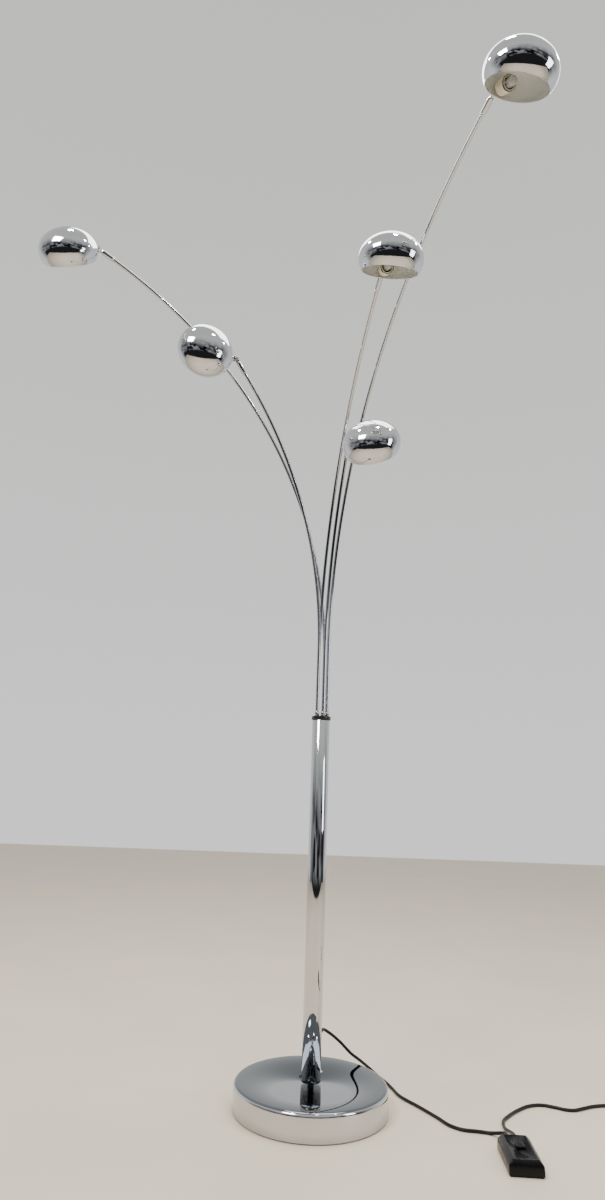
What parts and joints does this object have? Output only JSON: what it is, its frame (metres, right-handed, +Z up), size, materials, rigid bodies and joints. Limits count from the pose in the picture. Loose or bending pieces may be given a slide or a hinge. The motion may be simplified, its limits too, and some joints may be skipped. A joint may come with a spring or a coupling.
{
  "type": "arc floor lamp",
  "caption": "Floor lamp with a round weighted base, a short pole and bent tube arms, each ending in a swivelling, tilting dome shade, with a foot dimmer on its mains lead.",
  "frame": {"origin": "middle of the underside of the round base, on the floor", "axes": "+Z up along the pole; -Y towards the room, the side most arms bend to; +X to the right of somebody facing the lamp from the room"},
  "size_m": [1.4347, 0.8765, 1.8025],
  "materials": {
    "chrome": "mirror polished",
    "shade_chrome": "mirror polished outside, matte silver inside",
    "steel": "plain",
    "iron": "rough cast",
    "black_plastic": "satin",
    "rubber": "matte",
    "cream": "satin",
    "bulb_glass": "clear",
    "brass": "plain",
    "foam": "matte foam"
  },
  "bodies": {
    "stand": {"base_cover": "chrome", "base_weight": "iron", "base_pad": "foam", "pole_foot": "steel", "foot_washer": "steel", "foot_nut": "steel", "pole_tube": "chrome", "cord_grommet": "rubber", "pole_cap": "black_plastic", "guide_plate": "black_plastic", "terminal_block": "cream", "dimmer_cover": "black_plastic", "dimmer_base": "black_plastic", "dimmer_relief_1": "rubber", "dimmer_relief_2": "rubber", "cord_to_dimmer": "rubber", "cord_from_dimmer": "rubber", "cord_to_plug": "rubber", "cord_coil": "rubber", "coil_tie": "black_plastic", "plug_body": "rubber", "plug_pin_1": "brass", "plug_pin_2": "brass"},
    "dimmer_slider": {"dimmer_slider": "black_plastic"},
    "arm_1": {"arm_1_tube": "chrome", "arm_1_sleeve": "chrome", "arm_1_pivot_screw": "steel"},
    "knuckle_1": {"arm_1_knuckle": "chrome"},
    "shade_1": {"arm_1_shade": "shade_chrome", "arm_1_lampholder": "cream", "arm_1_bulb": "bulb_glass"},
    "arm_2": {"arm_2_tube": "chrome", "arm_2_sleeve": "chrome", "arm_2_pivot_screw": "steel"},
    "knuckle_2": {"arm_2_knuckle": "chrome"},
    "shade_2": {"arm_2_shade": "shade_chrome", "arm_2_lampholder": "cream", "arm_2_bulb": "bulb_glass"},
    "arm_3": {"arm_3_tube": "chrome", "arm_3_sleeve": "chrome", "arm_3_pivot_screw": "steel"},
    "knuckle_3": {"arm_3_knuckle": "chrome"},
    "shade_3": {"arm_3_shade": "shade_chrome", "arm_3_lampholder": "cream", "arm_3_bulb": "bulb_glass"},
    "arm_4": {"arm_4_tube": "chrome", "arm_4_sleeve": "chrome", "arm_4_pivot_screw": "steel"},
    "knuckle_4": {"arm_4_knuckle": "chrome"},
    "shade_4": {"arm_4_shade": "shade_chrome", "arm_4_lampholder": "cream", "arm_4_bulb": "bulb_glass"},
    "arm_5": {"arm_5_tube": "chrome", "arm_5_sleeve": "chrome", "arm_5_pivot_screw": "steel"},
    "knuckle_5": {"arm_5_knuckle": "chrome"},
    "shade_5": {"arm_5_shade": "shade_chrome", "arm_5_lampholder": "cream", "arm_5_bulb": "bulb_glass"}
  },
  "joints": [
    {"name": "arm_1_swivel", "type": "hinge", "parent": "stand", "child": "arm_1", "pos_m": [0.00371, 0.01141, 0.751], "axis": [0, 0, 1], "range_deg": [-75, 2]},
    {"name": "shade_1_tilt", "type": "hinge", "parent": "arm_1", "child": "knuckle_1", "pos_m": [-0.5333, -0.22768, 1.7446], "axis": [0.4443, -0.8908, 0.095], "range_deg": [-58, 42]},
    {"name": "shade_1_roll", "type": "hinge", "parent": "knuckle_1", "child": "shade_1", "pos_m": [-0.5333, -0.22768, 1.7446], "axis": [-0.7202, -0.4182, -0.5535], "range_deg": [-90, 90]},
    {"name": "arm_2_swivel", "type": "hinge", "parent": "stand", "child": "arm_2", "pos_m": [-0.00971, -0.00705, 0.751], "axis": [0, 0, 1], "range_deg": [-2, 30]},
    {"name": "shade_2_tilt", "type": "hinge", "parent": "arm_2", "child": "knuckle_2", "pos_m": [-0.2218, -0.13703, 1.53845], "axis": [0.3962, -0.9108, -0.1163], "range_deg": [-55, 45]},
    {"name": "shade_2_roll", "type": "hinge", "parent": "knuckle_2", "child": "shade_2", "pos_m": [-0.2218, -0.13703, 1.53845], "axis": [-0.9176, -0.3882, -0.0855], "range_deg": [-90, 30]},
    {"name": "arm_3_swivel", "type": "hinge", "parent": "stand", "child": "arm_3", "pos_m": [-0.00971, 0.00705, 0.751], "axis": [0, 0, 1], "range_deg": [-1.5, 1.3]},
    {"name": "shade_3_tilt", "type": "hinge", "parent": "arm_3", "child": "knuckle_3", "pos_m": [0.08461, -0.36571, 1.60053], "axis": [0.9802, 0.1805, -0.0815], "range_deg": [-40, 35]},
    {"name": "shade_3_roll", "type": "hinge", "parent": "knuckle_3", "child": "shade_3", "pos_m": [0.08461, -0.36571, 1.60053], "axis": [0.1256, -0.8849, -0.4486], "range_deg": [-90, 90]},
    {"name": "arm_4_swivel", "type": "hinge", "parent": "stand", "child": "arm_4", "pos_m": [0.00371, -0.01141, 0.751], "axis": [0, 0, 1], "range_deg": [-1, 6]},
    {"name": "shade_4_tilt", "type": "hinge", "parent": "arm_4", "child": "knuckle_4", "pos_m": [0.03931, -0.13806, 1.34253], "axis": [0.7573, 0.6186, 0.2091], "range_deg": [-30, 10]},
    {"name": "shade_4_roll", "type": "hinge", "parent": "knuckle_4", "child": "shade_4", "pos_m": [0.03931, -0.13806, 1.34253], "axis": [0.6353, -0.6239, -0.4551], "range_deg": [-50, 90]},
    {"name": "arm_5_swivel", "type": "hinge", "parent": "stand", "child": "arm_5", "pos_m": [0.012, 0, 0.751], "axis": [0, 0, 1], "range_deg": [-5, 75]},
    {"name": "shade_5_tilt", "type": "hinge", "parent": "arm_5", "child": "knuckle_5", "pos_m": [0.25195, -0.60605, 1.78177], "axis": [0.9261, 0.3765, 0.0245], "range_deg": [-50, 50]},
    {"name": "shade_5_roll", "type": "hinge", "parent": "knuckle_5", "child": "shade_5", "pos_m": [0.25195, -0.60605, 1.78177], "axis": [0.3386, -0.8006, -0.4944], "range_deg": [-90, 90]},
    {"name": "dimmer_slide", "type": "slide", "parent": "stand", "child": "dimmer_slider", "axis": [0.061, 0.9981, 0], "range_m": [-0.015, 0.015]}
  ]
}
